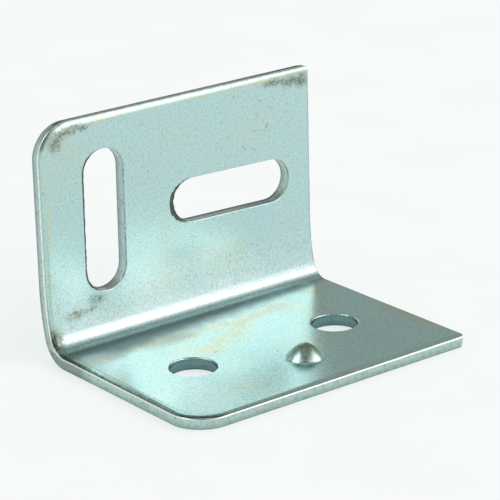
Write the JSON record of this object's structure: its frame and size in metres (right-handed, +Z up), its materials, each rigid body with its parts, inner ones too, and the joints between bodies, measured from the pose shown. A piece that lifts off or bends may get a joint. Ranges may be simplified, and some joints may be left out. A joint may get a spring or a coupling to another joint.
{
  "type": "angle bracket",
  "caption": "Angle bracket folded from zinc-plated steel sheet, with slots in its upright and screw holes and a pressed pip in its foot, for fixing boards at a right angle.",
  "frame": {"origin": "middle of the width and depth, on the underside of the foot", "axes": "+X along the fold from the rounded end to the cropped end, +Y from the foot's front edge to the back of the upright, +Z up the upright"},
  "size_m": [0.038, 0.0286, 0.0274],
  "materials": {
    "zinc_plate": "bright zinc plating with faint colour bands and fine wear"
  },
  "bodies": {
    "root": {"bracket": "zinc_plate"}
  },
  "joints": []
}
